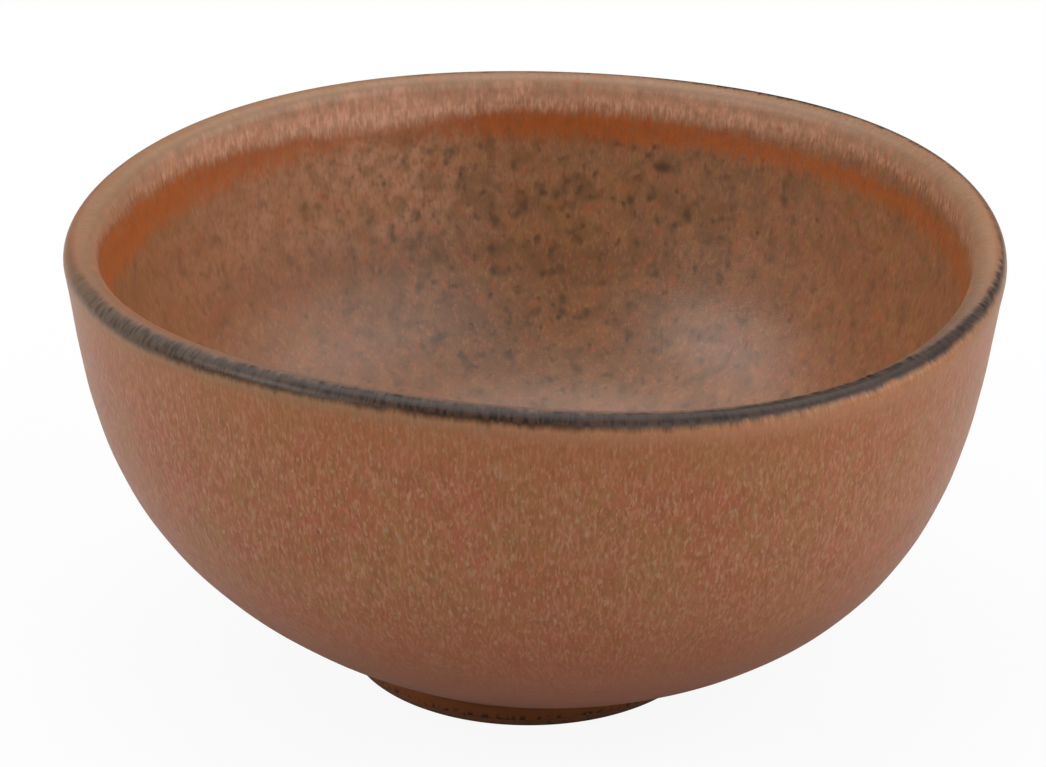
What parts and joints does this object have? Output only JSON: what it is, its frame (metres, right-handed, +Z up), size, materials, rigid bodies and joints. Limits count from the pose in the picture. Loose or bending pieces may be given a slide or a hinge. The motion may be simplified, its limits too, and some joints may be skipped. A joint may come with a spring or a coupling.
{
  "type": "bowl",
  "caption": "Small round hand-thrown stoneware bowl with a dark banded lip on a low level foot ring, for food or dips.",
  "frame": {"origin": "on the table, straight under the middle of the lip, which is also the middle of the bowl's outline seen from above", "axes": "+Z up, square to the table; +X towards the side where the lip is lowest; the bowl leans 0.8 degrees that way on its level foot"},
  "size_m": [0.14, 0.14, 0.0712],
  "materials": {
    "body_clay": "bare fired stoneware, buff brown",
    "ring_clay": "bare fired stoneware, toasted brown, smoothed at the foot",
    "slip": "fired slip, matt",
    "inner_glaze": "satin rust-brown glaze with dark speckles and an orange ring below the lip",
    "lip_glaze": "satin pale tan glaze, thin over the crest",
    "band_glaze": "satin charcoal glaze, feathered at its lower edge",
    "outer_glaze": "satin-matt terracotta glaze with short pale streaks",
    "foot_glaze": "satin dark amber glaze with dark spots at its lower edge",
    "well_glaze": "satin-matt terracotta glaze"
  },
  "bodies": {
    "root": {"clay_body": "body_clay", "foot_ring": "ring_clay", "luting_slip": "slip", "inner_glaze": "inner_glaze", "lip_glaze": "lip_glaze", "rim_band": "band_glaze", "outer_glaze": "outer_glaze", "foot_glaze": "foot_glaze", "well_glaze": "well_glaze"}
  },
  "joints": []
}
